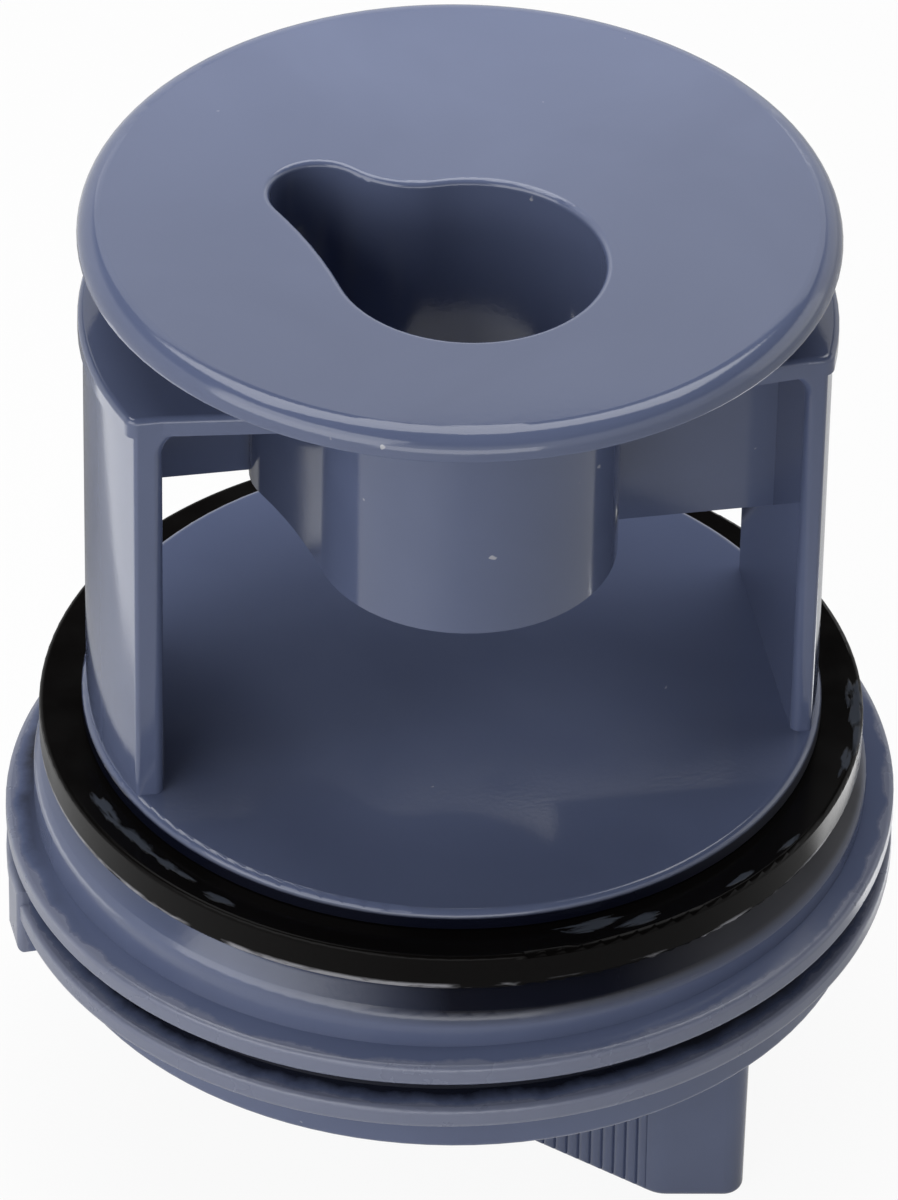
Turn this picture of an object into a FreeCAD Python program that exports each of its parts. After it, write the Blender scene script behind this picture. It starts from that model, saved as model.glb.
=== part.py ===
import FreeCAD, Part
import math
import os

# Drain pump filter of a washing machine. Millimetres, +Z up. The origin is on the screw axis at the flat
# end of the grip, which the filter stands on. X runs through the two posts of the cage.

# Grip bar with blunt pointed ends
grip_length = 52.2
grip_width = 8.0
grip_projection = 18.0
grip_turn = -43.0
nose_angle = 34.0
nose_rounding = 1.5
nose_shoulder_rounding = 2.5
grip_edge_radius = 0.6
grip_draft = 0.5
rib_zone = 41.0
rib_pitch = 1.02
rib_height = 0.35
rib_run_out = 0.25

# Threaded collar
collar_radius = 30.55
collar_height = 14.35
collar_wall = 2.5
shoulder_size = 2.3
shoulder_rounding = 1.5
collar_foot_rounding = 0.5
plate = 3.0

# Thread, one right-hand start
thread_pitch = 3.9
thread_turns = 1.9
thread_start_angle = 90.0
thread_start_rise = 2.65
thread_depth = 2.1
thread_crest = 1.6
thread_root = 2.4
thread_rounding = 0.45
thread_ramp = 14.0

# Stop lug across the first turn of the thread
lug_angle = 183.2
lug_width = 3.75
lug_height = 5.7
lug_reach = 2.25
lug_rounding = 0.5

# Sealing ring in its groove
seal_width = 4.2
seal_height = 3.0
seal_rounding = 0.4
seal_neck_clearance = 0.05
seal_lip_clearance = 0.1

# Cage: floor, two posts, shelf and top disc
floor_radius = 27.0
floor_lip_height = 1.45
floor_lip_overhang = 1.1
floor_rounding = 0.6
cage_height = 41.7
disc_radius = 27.0
disc_thickness = 2.0
disc_shoulder = 1.7
disc_lower_rounding = 0.2
shelf_depth = 8.3
shelf_thickness = 1.5
shelf_radius = 27.0
shelf_width = 20.2
shelf_middle_width = 25.0
shelf_corner = 1.0
shelf_rounding = 0.5
post_inset = 0.35
post_thickness = 3.7
window_offset = 0.3
post_corner_radius = 1.8
post_inner_rounding = 0.7
post_outer_rounding = 0.4

# Comma-shaped tube: a large bore, a small lobe and the two hollow curves between them
bore_centre = FreeCAD.Vector(-0.3, -5.9, 0.0)
bore_radius = 9.5
lobe_centre = FreeCAD.Vector(-9.45, 3.85, 0.0)
lobe_radius = 3.5
upper_bend = 6.8
flank_bend = 40.0
tube_wall = 1.4
tube_length = 24.6
hole_rounding = 0.5

# Webs that tie the tube to the posts: one midway on the right post and lower than the tube, one by the lobe
web_thickness = 1.6
right_web_drop = 3.4
left_web_face = 4.7

# Levels, from the resting face up
collar_bottom = grip_projection
seal_seat = collar_bottom + collar_height
seal_top = seal_seat + seal_height
groove_top = seal_top + seal_lip_clearance
floor_top = groove_top + floor_lip_height
disc_top = floor_top + cage_height
disc_bottom = disc_top - disc_thickness
shelf_top = disc_top - shelf_depth
shelf_bottom = shelf_top - shelf_thickness
tube_bottom = disc_top - tube_length

# Radii that follow
neck_radius = floor_radius - floor_lip_overhang
seal_inner = neck_radius + seal_neck_clearance
seal_outer = neck_radius + seal_width
post_radius = shelf_radius - post_inset
half_width = shelf_width / 2

# Inner faces of the posts, with the window between them a little off the axis
right_face = post_radius - post_thickness + window_offset
left_face = post_thickness - post_radius + window_offset

# Extra length of cutting and joining solids past the faces they meet, and the smallest difference in length
past = 1.0
tiny = 1e-6

UP = FreeCAD.Vector(0, 0, 1)
ORIGIN = FreeCAD.Vector(0, 0, 0)


def vec(x, y, z=0.0):
    return FreeCAD.Vector(x, y, z)


def polar(radius, degrees):
    angle = math.radians(degrees)
    return vec(radius * math.cos(angle), radius * math.sin(angle))


def cylinder(radius, bottom, top):
    return Part.makeCylinder(radius, top - bottom, vec(0, 0, bottom))


def box(x0, x1, y0, y1, z0, z1):
    return Part.makeBox(x1 - x0, y1 - y0, z1 - z0, vec(x0, y0, z0))


def line(start, end):
    return Part.LineSegment(start, end).toShape()


def arc(start, middle, end):
    return Part.Arc(start, middle, end).toShape()


def rounded_corner(before, corner, after, radius):
    """Tangent arc in place of a corner: its start, its edge and its end."""
    to_before = (before - corner).normalize()
    to_after = (after - corner).normalize()
    half = to_before.getAngle(to_after) / 2
    start = corner + to_before * (radius / math.tan(half))
    end = corner + to_after * (radius / math.tan(half))
    inward = (to_before + to_after).normalize()
    middle = corner + inward * (radius / math.sin(half) - radius)
    return start, arc(start, middle, end), end


def outline(points, radii):
    """Closed wire through points, with a rounding radius given for some of them by number."""
    edges = []
    ends = []
    for number, corner in enumerate(points):
        before = points[number - 1]
        after = points[(number + 1) % len(points)]
        if number in radii:
            start, edge, end = rounded_corner(before, corner, after, radii[number])
            ends.append((start, edge, end))
        else:
            ends.append((corner, None, corner))
    for number, (start, edge, end) in enumerate(ends):
        if edge:
            edges.append(edge)
        following = ends[(number + 1) % len(ends)][0]
        if end.distanceToPoint(following) > tiny:
            edges.append(line(end, following))
    return Part.Wire(edges)


def revolved(points, radii):
    """Solid turned from an outline of radius and height about the screw axis."""
    profile = outline([vec(radius, 0, height) for radius, height in points], radii)
    return Part.Face(profile).revolve(ORIGIN, UP, 360)


def vertical_edges(shape, keep):
    """Straight upright edges of a shape whose middle passes the test."""
    found = []
    for edge in shape.Edges:
        if len(edge.Vertexes) == 2 and edge.Curve.TypeId == "Part::GeomLine":
            direction = edge.Vertexes[1].Point - edge.Vertexes[0].Point
            upright = math.hypot(direction.x, direction.y) < tiny
            if upright and keep(edge.CenterOfMass):
                found.append(edge)
    return found


def bend_centre(first, first_radius, second, second_radius, bend, side):
    """Centre of the hollow curve that touches two circles from outside, on one side of their line."""
    span = second - first
    distance = span.Length
    reach_first = first_radius + bend
    reach_second = second_radius + bend
    along = (reach_first**2 - reach_second**2 + distance**2) / (2 * distance)
    across = math.sqrt(reach_first**2 - along**2)
    unit = vec(span.x / distance, span.y / distance)
    normal = vec(-unit.y, unit.x)
    return first + unit * along + normal * (side * across)


def arc_about(centre, start, end, counterclockwise):
    """Arc about a centre from start to end in the given sense."""
    first = math.atan2(start.y - centre.y, start.x - centre.x)
    last = math.atan2(end.y - centre.y, end.x - centre.x)
    if counterclockwise and last < first:
        last += 2 * math.pi
    if not counterclockwise and last > first:
        last -= 2 * math.pi
    middle = (first + last) / 2
    radius = (start - centre).Length
    return arc(start, centre + vec(radius * math.cos(middle), radius * math.sin(middle)), end)


def comma_prism(offset, bottom, top):
    """Upright prism of the comma section, grown by an offset all round."""
    big = bore_radius + offset
    small = lobe_radius + offset
    upper = bend_centre(bore_centre, big, lobe_centre, small, upper_bend - offset, -1)
    flank = bend_centre(bore_centre, big, lobe_centre, small, flank_bend - offset, 1)
    upper_on_bore = bore_centre + (upper - bore_centre).normalize() * big
    upper_on_lobe = lobe_centre + (upper - lobe_centre).normalize() * small
    flank_on_bore = bore_centre + (flank - bore_centre).normalize() * big
    flank_on_lobe = lobe_centre + (flank - lobe_centre).normalize() * small
    edges = [
        arc_about(bore_centre, flank_on_bore, upper_on_bore, True),
        arc_about(upper, upper_on_bore, upper_on_lobe, False),
        arc_about(lobe_centre, upper_on_lobe, flank_on_lobe, True),
        arc_about(flank, flank_on_lobe, flank_on_bore, False),
    ]
    face = Part.Face(Part.Wire(edges))
    face.translate(vec(0, 0, bottom))
    return face.extrude(vec(0, 0, top - bottom))


def top_disc():
    points = [(0, disc_bottom), (disc_radius, disc_bottom), (disc_radius, disc_top), (0, disc_top)]
    return revolved(points, {1: disc_lower_rounding, 2: disc_shoulder})


def shelf():
    """Strap across the cage, flush with the posts at its ends and wider where it holds the tube."""
    reach = shelf_radius + past
    middle = shelf_middle_width / 2
    corners = [(-reach, -half_width), (left_face, -half_width), (0, -middle), (right_face, -half_width)]
    corners += [(reach, -half_width), (reach, half_width)]
    corners += [(right_face, half_width), (0, middle), (left_face, half_width), (-reach, half_width)]
    strip = Part.Face(outline([vec(x, y, shelf_bottom) for x, y in corners], {}))
    body = cylinder(shelf_radius, shelf_bottom, shelf_top).common(strip.extrude(UP * shelf_thickness))
    body = body.makeFillet(shelf_corner, vertical_edges(body, lambda point: True))
    upper_rims = [edge for edge in body.Edges if edge.BoundBox.ZMin > shelf_top - tiny]
    return body.makeFillet(shelf_rounding, upper_rims)


def posts():
    """The two posts joined under the shelf, as one bridge with rounded inner corners."""
    foot = groove_top
    outer = shelf_radius + past
    points = [
        vec(-outer, 0, foot),
        vec(left_face, 0, foot),
        vec(left_face, 0, shelf_bottom),
        vec(right_face, 0, shelf_bottom),
        vec(right_face, 0, foot),
        vec(outer, 0, foot),
        vec(outer, 0, shelf_top - shelf_thickness / 2),
        vec(-outer, 0, shelf_top - shelf_thickness / 2),
    ]
    profile = Part.Face(outline(points, {2: post_corner_radius, 3: post_corner_radius}))
    profile.translate(vec(0, -half_width, 0))
    bridge = profile.extrude(vec(0, shelf_width, 0))
    bridge = bridge.common(cylinder(post_radius, foot, shelf_top))

    def in_window(point):
        return left_face - tiny < point.x < right_face + tiny

    outer_edges = vertical_edges(bridge, lambda point: not in_window(point))
    bridge = bridge.makeFillet(post_outer_rounding, outer_edges)
    inner_edges = []
    for edge in bridge.Edges:
        middle = edge.CenterOfMass
        flat = edge.BoundBox.YLength < tiny and abs(abs(middle.y) - half_width) < tiny
        below_shelf = foot + past < middle.z < shelf_bottom + tiny
        if flat and below_shelf and in_window(middle):
            inner_edges.append(edge)
    return bridge.makeFillet(post_inner_rounding, inner_edges)


def webs():
    high = shelf_bottom + shelf_thickness / 2
    mid_wall = bore_radius + tube_wall / 2
    start = bore_centre.x + math.sqrt(mid_wall**2 - bore_centre.y**2)
    half = web_thickness / 2
    right = box(start, right_face + past, -half, half, tube_bottom - right_web_drop, high)
    left = box(left_face - past, lobe_centre.x, left_web_face, left_web_face + web_thickness, tube_bottom, high)
    return [right, left]


def collar():
    """Floor, sealing groove and collar as one turned shell, hollow from below."""
    inner_wall = collar_radius - collar_wall
    inner_roof = floor_top - plate
    outer_roof = seal_seat - plate
    step_radius = neck_radius - plate
    points = [
        (0, inner_roof),
        (step_radius, inner_roof),
        (step_radius, outer_roof),
        (inner_wall, outer_roof),
        (inner_wall, collar_bottom),
        (collar_radius, collar_bottom),
        (collar_radius, seal_seat - shoulder_size),
        (collar_radius - shoulder_size, seal_seat),
        (neck_radius, seal_seat),
        (neck_radius, groove_top),
        (floor_radius, groove_top),
        (floor_radius, floor_top),
        (0, floor_top),
    ]
    radii = {4: collar_foot_rounding, 5: collar_foot_rounding, 6: shoulder_rounding, 11: floor_rounding}
    return revolved(points, radii)


def grip_room():
    """Space that the grip may fill: the hollow of the collar and all that lies below it."""
    inner_wall = collar_radius - collar_wall
    lower = cylinder(2 * collar_radius, 0, collar_bottom)
    middle = cylinder(inner_wall, collar_bottom, seal_seat - plate)
    upper = cylinder(neck_radius - plate, seal_seat - plate, floor_top - plate)
    return lower.fuse(middle).fuse(upper)


def grip_outline(offset, z):
    """Plan of the bar, long along X with blunt pointed ends, grown by an offset all round."""
    side = grip_width / 2 + offset
    tip = nose_rounding + offset
    shoulder = nose_shoulder_rounding + offset
    angle = math.radians(nose_angle)
    apex = grip_length / 2 + offset + tip * (1 / math.sin(angle) - 1)
    straight = apex - side / math.tan(angle)
    points = [
        vec(-straight, -side, z),
        vec(straight, -side, z),
        vec(apex, 0, z),
        vec(straight, side, z),
        vec(-straight, side, z),
        vec(-apex, 0, z),
    ]
    return outline(points, {0: shoulder, 1: shoulder, 2: tip, 3: shoulder, 4: shoulder, 5: tip})


def rib_cutter(side, height):
    """What lies outside the row of upright half-round ribs on one side of the grip."""
    count = int(rib_zone / rib_pitch)
    half_row = count * rib_pitch / 2
    valley = side * (grip_width / 2 - rib_height)
    crest = side * grip_width / 2
    outside = side * grip_width
    trough = [vec(-half_row, valley), vec(-half_row, outside)]
    trough += [vec(half_row, outside), vec(half_row, valley)]
    edges = [line(start, end) for start, end in zip(trough, trough[1:])]
    for number in range(count):
        right = half_row - number * rib_pitch
        left = right - rib_pitch
        edges.append(arc(vec(right, valley), vec((left + right) / 2, crest), vec(left, valley)))
    cutter = Part.Face(Part.Wire(edges)).extrude(UP * (height + past))
    cutter.rotate(vec(0, valley, 0), vec(1, 0, 0), -side * grip_draft)
    cutter.translate(UP * -rib_run_out)
    return cutter


def grip():
    """Drafted bar with a row of ribs along each side."""
    height = floor_top - plate
    draft = height * math.tan(math.radians(grip_draft))
    envelope = Part.makeLoft([grip_outline(0, 0), grip_outline(draft, height)], True, True)
    foot_edges = [edge for edge in envelope.Edges if edge.BoundBox.ZMax < tiny]
    envelope = envelope.makeFillet(grip_edge_radius, foot_edges)
    bar = envelope.cut([rib_cutter(side, height) for side in (-1, 1)])
    bar.rotate(ORIGIN, UP, grip_turn)
    return bar.common(grip_room())


def ramp_cutter(angle, level, sense):
    """Wedge that lets an end of the thread rise from the collar over the ramp angle."""
    foot = polar(collar_radius, angle)
    head = polar(collar_radius + thread_depth, angle + sense * thread_ramp)
    run = (head - foot).normalize()
    outward = polar(1, angle)
    start = foot - run * (thread_depth + past)
    reach = outward * (2 * thread_depth)
    corners = [start, head, head + reach, start + reach, start]
    half = thread_pitch / 2
    face = Part.Face(Part.makePolygon(corners))
    face.translate(vec(0, 0, level - half))
    return face.extrude(vec(0, 0, thread_pitch))


def thread():
    """Right-hand ridge with rounded crest edges, sunk a little into the collar, with ramped ends."""
    sink = thread_rounding
    inner = collar_radius - sink
    crest = collar_radius + thread_depth
    points = [
        vec(inner, 0, -thread_root / 2),
        vec(crest, 0, -thread_crest / 2),
        vec(crest, 0, thread_crest / 2),
        vec(inner, 0, thread_root / 2),
    ]
    profile = outline(points, {1: thread_rounding, 2: thread_rounding})
    helix = Part.makeHelix(thread_pitch, thread_pitch * thread_turns, collar_radius)
    sweep = Part.BRepOffsetAPI.MakePipeShell(Part.Wire(helix.Edges))
    sweep.setFrenetMode(True)
    sweep.add(profile)
    sweep.build()
    sweep.makeSolid()
    ridge = sweep.shape()
    low = collar_bottom + thread_start_rise
    ridge.rotate(ORIGIN, UP, thread_start_angle)
    ridge.translate(vec(0, 0, low))
    end_angle = thread_start_angle + 360 * thread_turns
    end_level = low + thread_pitch * thread_turns
    start_ramp = ramp_cutter(thread_start_angle, low, 1)
    end_ramp = ramp_cutter(end_angle, end_level, -1)
    return ridge.cut([start_ramp, end_ramp])


def lug():
    inner = collar_radius - collar_wall / 2
    outer = collar_radius + lug_reach
    block = box(inner, outer, -lug_width / 2, lug_width / 2, 0, lug_height)
    block = block.makeFillet(lug_rounding, [edge for edge in block.Edges if edge.BoundBox.XMin > outer - tiny])
    block.rotate(ORIGIN, UP, lug_angle)
    block.translate(vec(0, 0, collar_bottom))
    return block


def cage():
    """Top disc, tube, shelf, posts and webs, with the comma-shaped passage through them."""
    tube = comma_prism(tube_wall, tube_bottom, disc_top - disc_thickness / 2)
    body = top_disc().fuse([tube, shelf(), posts(), *webs()])
    body = body.cut(comma_prism(0, tube_bottom - past, disc_top + past))
    body = body.removeSplitter()
    mouth = []
    for edge in body.Edges:
        on_top = edge.BoundBox.ZMin > disc_top - tiny
        rim_of_disc = edge.BoundBox.XLength > disc_radius
        if on_top and not rim_of_disc:
            mouth.append(edge)
    return body.makeFillet(hole_rounding, mouth)


def filter_body():
    cap = collar().fuse([grip(), lug()]).removeSplitter()
    return cage().fuse([cap, thread()])


def sealing_ring():
    points = [
        (seal_inner, seal_seat),
        (seal_outer, seal_seat),
        (seal_outer, seal_top),
        (seal_inner, seal_top),
    ]
    return revolved(points, {number: seal_rounding for number in range(4)})


os.makedirs("parts", exist_ok=True)
for name, shape in (("filter_body", filter_body()), ("sealing_ring", sealing_ring())):
    shape.exportStep(f"parts/{name}.step")
    print(name, shape.isValid(), len(shape.Solids), round(shape.Volume, 1))
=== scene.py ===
import math
import bpy
from mathutils import Matrix, Vector


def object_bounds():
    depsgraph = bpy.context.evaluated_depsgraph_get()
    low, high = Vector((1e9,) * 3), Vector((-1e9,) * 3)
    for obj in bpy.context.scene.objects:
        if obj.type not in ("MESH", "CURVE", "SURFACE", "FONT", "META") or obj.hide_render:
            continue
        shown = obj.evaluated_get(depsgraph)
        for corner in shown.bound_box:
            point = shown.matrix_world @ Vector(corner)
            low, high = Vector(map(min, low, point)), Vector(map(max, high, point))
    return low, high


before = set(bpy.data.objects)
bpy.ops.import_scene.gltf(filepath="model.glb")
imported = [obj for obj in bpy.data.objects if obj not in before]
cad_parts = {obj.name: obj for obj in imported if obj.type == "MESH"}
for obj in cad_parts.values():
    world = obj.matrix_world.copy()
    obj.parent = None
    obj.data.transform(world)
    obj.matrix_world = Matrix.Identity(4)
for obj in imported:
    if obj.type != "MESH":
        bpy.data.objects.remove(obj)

cad_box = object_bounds()
part_top = cad_box[1][2]

# Camera, from the ellipses of the photograph
image_width = 898
focal_pixels = 9658
sensor_width = 36.0
camera_distance = 0.7
camera_elevation = math.radians(37.66)
camera_turn = math.radians(10.5)
camera_roll = math.radians(1.05)
target_aside = -0.00030
target_below_top = 0.03457

# Directions: up, and the camera's level line of sight and right-hand side
up_world = Vector((0, 0, 1))
level = Vector((math.sin(camera_turn), math.cos(camera_turn), 0))
right = Vector((math.cos(camera_turn), -math.sin(camera_turn), 0))

# Colours, linear
white = (1, 1, 1, 1)
body_colour = (0.104, 0.127, 0.216, 1)
body_deep = (0.092, 0.113, 0.196, 1)
worn_colour = (0.155, 0.172, 0.245, 1)
speck_colour = (0.34, 0.35, 0.39, 1)
# Painted shade under the sealing ring and on the lip inside it
seal_painted_shade = (0.004, 0.005, 0.012, 1)
# Painted shade in the root of the thread
root_painted_shade = (0.010, 0.012, 0.023, 1)
rubber_colour = (0.0030, 0.0026, 0.0025, 1)
grease_colour = (0.048, 0.055, 0.070, 1)
foot_colour = (0.26, 0.26, 0.28, 1)
floor_colour = (0.80, 0.80, 0.80, 1)

# Places on the part are in metres: radii from the screw axis, heights from the end of the grip.
# A fade is the width over which a mark ends.

# Thread: the root and the crest, the heights between which the root lies (painted dark as shade there), and
# how far worn edges wander
root_radius = 0.0309
crest_inner = 0.0318
crest_outer = 0.0321
collar_inside = 0.0300
collar_fade = 0.0003
root_bottom = 0.0230
root_bottom_fade = 0.0006
root_top = 0.0268
root_top_fade = 0.0004
wear_wander = 0.0004

# Shoulder under the sealing ring. Painted shade lies on it at the front right, and it is dull towards the
# right.
shoulder_radius = 0.0276
shoulder_fade = 0.0003
shoulder_foot = 0.0292
shoulder_top = 0.0304
shade_from_x = (-0.020, -0.005)
shade_to_y = (-0.010, 0.005)
dull_from_x = (0.006, 0.018)

# Lip of the cage's round bottom, inside the sealing ring, painted dark all round as shade
lip_radius = 0.0268
lip_radius_fade = 0.0002
lip_foot = 0.0350
lip_top = 0.0366
lip_fade = 0.0003

# Foot and side of the sealing ring
seal_foot = 0.0328
seal_side = 0.0299
seal_fade = 0.0002

# Grease on the top of the sealing ring: X, Y and reach of each smear, which is drawn out along the ring.
# A turn of one radian counts as smear_turn metres, and a smear is full out to smear_core of its reach.
smear_turn = 0.0065
smear_core = 0.2
smears = [
    (-0.0268, -0.0095, 0.0012),
    (-0.0250, -0.0136, 0.0014),
    (-0.0232, -0.0166, 0.0012),
    (-0.0203, -0.0207, 0.0008),
    (0.0290, -0.0052, 0.0014),
    (0.0282, -0.0099, 0.0010),
    (0.0270, -0.0118, 0.0009),
    (0.0052, -0.0276, 0.0013),
    (0.0088, -0.0275, 0.0010),
    (0.0168, -0.0240, 0.0007),
    (0.0211, -0.0206, 0.0007),
]

# Noise: its pattern, and the part of its range that is spread out
flow_noise = {"scale": 45.0, "detail": 3.0, "roughness": 0.5, "distortion": 0.6}
flow_range = (0.35, 0.65)
speck_noise = {"scale": 700.0, "detail": 2.0}
speck_range = (0.77, 0.80)
wear_noise = {"scale": 260.0, "detail": 5.0, "roughness": 0.6}
polish_noise = {"scale": 160.0, "detail": 5.0}
grain_noise = {"scale": 2600.0, "detail": 3.0}
grease_noise = {"scale": 1500.0, "distortion": 0.6}
grease_range = (0.36, 0.46)
foot_noise = {"scale": 600.0, "roughness": 0.6}
foot_range = (0.49, 0.58)
rubber_noise = {"scale": 220.0}
wide_range = (0.3, 0.7)

# Finish: range of roughness of each material, and what the collar, the worn crest and the painted shade add
body_roughness = (0.07, 0.14)
collar_roughness = 0.06
worn_roughness = 0.12
shade_roughness = (0.08, 0.45)
rubber_roughness = (0.16, 0.26)
rubber_specular = 0.06
grain_strength = 0.03
grease_strength = 0.3
bump_depth = 0.0002

# Stage floor: its half width, and the share of its white that carries no shadow for the camera.
# The gloss of the part shows it at a share of white: at the left, elsewhere and in the part's shade.
floor_reach = 2.0
floor_unshaded = 0.93
floor_left = 1.0
floor_elsewhere = 0.66
floor_left_edge = (-0.06, -0.02)
floor_shade = 0.40
shade_place = (-0.04, 0.085, 0)
shade_reach = (0.02, 0.06)

# World: its level, and the angles between which its white fades out in the gloss of the part
world_level = 0.03
white_below = math.radians(24)
dark_above = math.radians(33)

# Lights: place, aim, width, height and power of each. There is a large box overhead, one at the left, front
# and right, a small low one over the back of the disc for its sheen, and a card on the stage floor at each
# side, which the left post and the sealing ring mirror. A light that faces straight up or down aims a nudge
# off the plumb line, so that its turn is defined.
nudge = 0.0001
sheen_behind = 0.0405
sheen_above = 0.028
sheen_place = level * sheen_behind + up_world * (part_top + sheen_above)
lights = {
    "top_light": ((0.0, 0.20, 0.68), (0, 0.20 + nudge, 0), 0.8, 0.42, 4.1),
    "left_light": ((-0.48, -0.33, 0.34), (0, 0, 0.04), 0.6, 0.45, 2.4),
    "front_light": ((-0.10, -0.60, 0.12), (0, 0, 0.03), 0.5, 0.2, 0.8),
    "right_light": ((0.60, 0.05, 0.20), (0, 0, 0.04), 0.4, 0.4, 0.3),
    "sheen_light": (sheen_place, sheen_place - up_world + level * nudge, 0.085, 0.057, 0.0167),
    "left_card": ((-0.097, 0.04, 0.002), (-0.097, 0.04 + nudge, 1), 0.055, 0.08, 0.0166),
    "right_card": ((0.0625, 0.016, 0.002), (0.0625, 0.016 + nudge, 1), 0.025, 0.036, 0.0085),
}

# Sockets of the Mix node that take and give colours
mix_first = 6
mix_second = 7
mix_result = 2


def node(tree, kind, inputs=None, **settings):
    """New shader node with its settings, and its inputs given as values or as sockets to link."""
    made = tree.nodes.new(kind)
    for name, value in settings.items():
        setattr(made, name, value)
    for socket, value in (inputs or {}).items():
        if isinstance(value, bpy.types.NodeSocket):
            tree.links.new(value, made.inputs[socket])
        else:
            made.inputs[socket].default_value = value
    return made


def new_material(name):
    material = bpy.data.materials.new(name)
    material.use_nodes = True
    material.node_tree.nodes.clear()
    return material, material.node_tree


def math_node(tree, operation, first, second=0.0):
    return node(tree, "ShaderNodeMath", {0: first, 1: second}, operation=operation).outputs[0]


def noise(tree, place, scale, detail=4.0, roughness=0.55, distortion=0.0):
    inputs = {"Vector": place, "Scale": scale, "Detail": detail}
    inputs.update({"Roughness": roughness, "Distortion": distortion})
    return node(tree, "ShaderNodeTexNoise", inputs).outputs["Fac"]


def spread(tree, value, low, high, to_low=0.0, to_high=1.0):
    """Value mapped from one range to another, kept within the second."""
    inputs = {"Value": value, "From Min": low, "From Max": high, "To Min": to_low, "To Max": to_high}
    return node(tree, "ShaderNodeMapRange", inputs, clamp=True).outputs["Result"]


def mix_colour(tree, share, first, second):
    inputs = {"Factor": share, mix_first: first, mix_second: second}
    return node(tree, "ShaderNodeMix", inputs, data_type="RGBA").outputs[mix_result]


def product(tree, first, *others):
    for other in others:
        first = math_node(tree, "MULTIPLY", first, other)
    return first


def split(tree, place):
    """X, Y and Z of a place, and its distance from the screw axis."""
    axes = node(tree, "ShaderNodeSeparateXYZ", {"Vector": place}).outputs
    squares = [math_node(tree, "MULTIPLY", axes[number], axes[number]) for number in (0, 1)]
    radius = math_node(tree, "SQRT", math_node(tree, "ADD", *squares))
    return axes[0], axes[1], axes[2], radius


def distance(tree, place, point):
    return node(tree, "ShaderNodeVectorMath", {0: place, 1: point}, operation="DISTANCE").outputs["Value"]


def plastic_shader(tree, colour, roughness, relief, strength, **constants):
    """Principled shader with a bump from the relief, wired to the material's output."""
    bump = node(tree, "ShaderNodeBump", {"Height": relief, "Strength": strength, "Distance": bump_depth})
    inputs = {"Base Color": colour, "Roughness": roughness, "Normal": bump.outputs["Normal"]}
    inputs.update(constants)
    shader = node(tree, "ShaderNodeBsdfPrincipled", inputs)
    node(tree, "ShaderNodeOutputMaterial", {"Surface": shader.outputs[0]})


def root_shade_mask(tree, edge, height, radius):
    """Share of painted shade in the root of the thread, on the outside of the collar."""
    deep = spread(tree, edge, root_radius, crest_inner, 1.0, 0.0)
    outside = spread(tree, radius, collar_inside, collar_inside + collar_fade)
    below = spread(tree, height, root_top - root_top_fade, root_top, 1.0, 0.0)
    above = spread(tree, height, root_bottom - root_bottom_fade, root_bottom)
    return product(tree, deep, outside, below, above)


def seal_shade_mask(tree, x, y, height, radius, on_collar):
    """Share of painted shade by the sealing ring: under it at the front right, and on the lip inside it."""
    near_seal = spread(tree, height, shoulder_foot, shoulder_top)
    front_right = product(tree, spread(tree, x, *shade_from_x), spread(tree, y, *shade_to_y, 1.0, 0.0))
    under_seal = product(tree, near_seal, on_collar, front_right)
    on_side = spread(tree, radius, lip_radius - lip_radius_fade, lip_radius)
    below = spread(tree, height, lip_top - lip_fade, lip_top, 1.0, 0.0)
    above = spread(tree, height, lip_foot - lip_fade, lip_foot)
    return math_node(tree, "MAXIMUM", under_seal, product(tree, on_side, below, above))


def body_material():
    """Glossy moulded plastic: flow marks, a few specks, a thread crest rubbed dull, painted shade in the
    thread root and by the sealing ring.
    """
    material, tree = new_material("body_plastic")
    place = node(tree, "ShaderNodeTexCoord").outputs["Object"]
    x, y, height, radius = split(tree, place)
    flow = spread(tree, noise(tree, place, **flow_noise), *flow_range)
    colour = mix_colour(tree, flow, body_deep, body_colour)
    specks = spread(tree, noise(tree, place, **speck_noise), *speck_range)
    colour = mix_colour(tree, specks, colour, speck_colour)

    ragged = spread(tree, noise(tree, place, **wear_noise), *wide_range, -wear_wander, wear_wander)
    edge = math_node(tree, "ADD", radius, ragged)
    rubbed = spread(tree, edge, crest_inner, crest_outer)
    colour = mix_colour(tree, rubbed, colour, worn_colour)

    # Painted shade in the root of the thread
    shade_in_root = root_shade_mask(tree, edge, height, radius)
    colour = mix_colour(tree, shade_in_root, colour, root_painted_shade)
    on_collar = spread(tree, radius, shoulder_radius - shoulder_fade, shoulder_radius)
    # Painted shade under the sealing ring at the front right and on the lip inside it
    shade_by_seal = seal_shade_mask(tree, x, y, height, radius, on_collar)
    colour = mix_colour(tree, shade_by_seal, colour, seal_painted_shade)
    # Both painted shade marks are made rougher, more so towards the right
    shaded_parts = math_node(tree, "MAXIMUM", shade_in_root, shade_by_seal)

    roughness = spread(tree, noise(tree, place, **polish_noise), *wide_range, *body_roughness)
    dull = spread(tree, x, *dull_from_x, *shade_roughness)
    for share, added in ((on_collar, collar_roughness), (rubbed, worn_roughness), (shaded_parts, dull)):
        roughness = math_node(tree, "ADD", roughness, product(tree, share, added))
    plastic_shader(tree, colour, roughness, noise(tree, place, **grain_noise), grain_strength)
    return material


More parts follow.
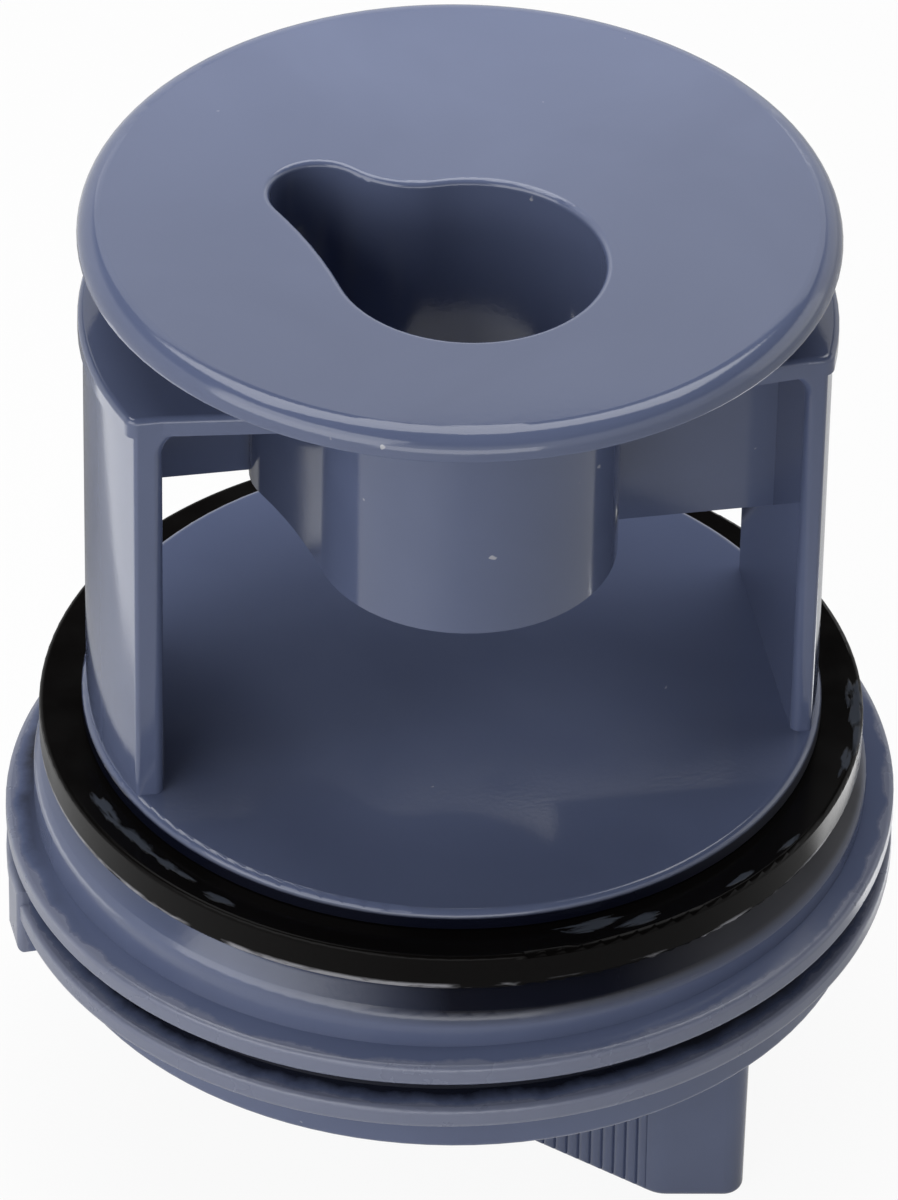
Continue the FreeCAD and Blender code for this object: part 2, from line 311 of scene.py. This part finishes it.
def rubber_material():
    """Black rubber with smears of grease on top and a broken line of it along the foot."""
    material, tree = new_material("seal_rubber")
    place = node(tree, "ShaderNodeTexCoord").outputs["Object"]
    x, y, height, radius = split(tree, place)
    turned = product(tree, math_node(tree, "ARCTAN2", y, x), smear_turn)
    flat_ring = node(tree, "ShaderNodeCombineXYZ", {"X": turned, "Y": radius}).outputs[0]
    along_ring = node(tree, "ShaderNodeCombineXYZ", {"X": turned, "Y": radius, "Z": height}).outputs[0]
    grease = 0.0
    for smear_x, smear_y, reach in smears:
        centre = (math.atan2(smear_y, smear_x) * smear_turn, math.hypot(smear_x, smear_y), 0)
        near = spread(tree, distance(tree, flat_ring, centre), reach * smear_core, reach, 1.0, 0.0)
        grease = math_node(tree, "MAXIMUM", grease, near)
    broken = noise(tree, along_ring, **grease_noise)
    grease = spread(tree, product(tree, grease, broken), *grease_range)

    low = spread(tree, height, seal_foot, seal_foot + seal_fade, 1.0, 0.0)
    outside = spread(tree, radius, seal_side - seal_fade, seal_side)
    ragged = spread(tree, noise(tree, along_ring, **foot_noise), *foot_range)
    foot = product(tree, low, outside, ragged)

    colour = mix_colour(tree, grease, rubber_colour, grease_colour)
    colour = mix_colour(tree, foot, colour, foot_colour)
    roughness = spread(tree, noise(tree, place, **rubber_noise), *wide_range, *rubber_roughness)
    constants = {"Specular IOR Level": rubber_specular}
    plastic_shader(tree, colour, roughness, grease, grease_strength, **constants)
    return material


def floor_material():
    """Pale floor, white to the camera with a faint shadow. The gloss of the part shows it white too."""
    material, tree = new_material("stage_floor")
    place = node(tree, "ShaderNodeTexCoord").outputs["Object"]
    x = node(tree, "ShaderNodeSeparateXYZ", {"Vector": place}).outputs["X"]
    path = node(tree, "ShaderNodeLightPath").outputs
    camera_ray = path["Is Camera Ray"]
    glossy_ray = path["Is Glossy Ray"]
    left = spread(tree, x, *floor_left_edge, floor_left, floor_elsewhere)
    shade = spread(tree, distance(tree, place, shade_place), *shade_reach, floor_shade, 1.0)
    share = math_node(tree, "MAXIMUM", product(tree, camera_ray, floor_unshaded), glossy_ray)
    strength = math_node(tree, "MAXIMUM", camera_ray, product(tree, left, shade, glossy_ray))
    lit = node(tree, "ShaderNodeBsdfDiffuse", {"Color": floor_colour})
    glow = node(tree, "ShaderNodeEmission", {"Color": white, "Strength": strength})
    shader = node(tree, "ShaderNodeMixShader", {"Fac": share, 1: lit.outputs[0], 2: glow.outputs[0]})
    node(tree, "ShaderNodeOutputMaterial", {"Surface": shader.outputs[0]})
    return material


def dress(name, material):
    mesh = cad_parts[name].data
    mesh.materials.clear()
    mesh.materials.append(material)


def add_object(name, data):
    made = bpy.data.objects.new(name, data)
    bpy.context.scene.collection.objects.link(made)
    return made


def make_floor():
    mesh = bpy.data.meshes.new("stage_floor")
    sides = ((-1, -1), (1, -1), (1, 1), (-1, 1))
    corners = [(across * floor_reach, along * floor_reach, 0) for across, along in sides]
    mesh.from_pydata(corners, [], [(0, 1, 2, 3)])
    mesh.materials.append(floor_material())
    return add_object("stage_floor", mesh)


def make_world():
    """White to the camera. The gloss of the part shows it white near the horizon and dark above."""
    world = bpy.data.worlds.new("studio")
    world.use_nodes = True
    tree = world.node_tree
    tree.nodes.clear()
    path = node(tree, "ShaderNodeLightPath").outputs
    towards = node(tree, "ShaderNodeTexCoord").outputs["Generated"]
    climb = node(tree, "ShaderNodeSeparateXYZ", {"Vector": towards}).outputs["Z"]
    horizon = spread(tree, climb, math.sin(white_below), math.sin(dark_above), 1.0, world_level)
    mirrored = product(tree, horizon, path["Is Glossy Ray"])
    seen = math_node(tree, "MAXIMUM", path["Is Camera Ray"], mirrored)
    strength = math_node(tree, "MAXIMUM", seen, world_level)
    sky = node(tree, "ShaderNodeBackground", {"Color": white, "Strength": strength})
    node(tree, "ShaderNodeOutputWorld", {"Surface": sky.outputs[0]})
    return world


def soft_light(name, place, aim, width, height, power):
    data = bpy.data.lights.new(name, "AREA")
    data.shape = "RECTANGLE"
    data.size = width
    data.size_y = height
    data.energy = power
    light = add_object(name, data)
    light.location = place
    light.rotation_euler = (Vector(aim) - Vector(place)).to_track_quat("-Z", "Y").to_euler()
    light.visible_camera = False


def make_camera():
    data = bpy.data.cameras.new("camera")
    data.sensor_fit = "HORIZONTAL"
    data.sensor_width = sensor_width
    data.lens = focal_pixels / image_width * sensor_width
    forward = level * math.cos(camera_elevation) - up_world * math.sin(camera_elevation)
    up = right.cross(forward)
    tilted_right = right * math.cos(camera_roll) + up * math.sin(camera_roll)
    tilted_up = up * math.cos(camera_roll) - right * math.sin(camera_roll)
    turn = Matrix((tilted_right, tilted_up, -forward)).transposed().to_4x4()
    target = right * target_aside + up_world * (part_top - target_below_top)
    camera = add_object("camera", data)
    camera.matrix_world = Matrix.Translation(target - forward * camera_distance) @ turn
    return camera


dress("filter_body", body_material())
dress("sealing_ring", rubber_material())
floor = make_floor()
bpy.context.scene.world = make_world()
for light_name, facts in lights.items():
    soft_light(light_name, *facts)
bpy.context.scene.camera = make_camera()
bpy.context.scene.view_settings.view_transform = "Standard"
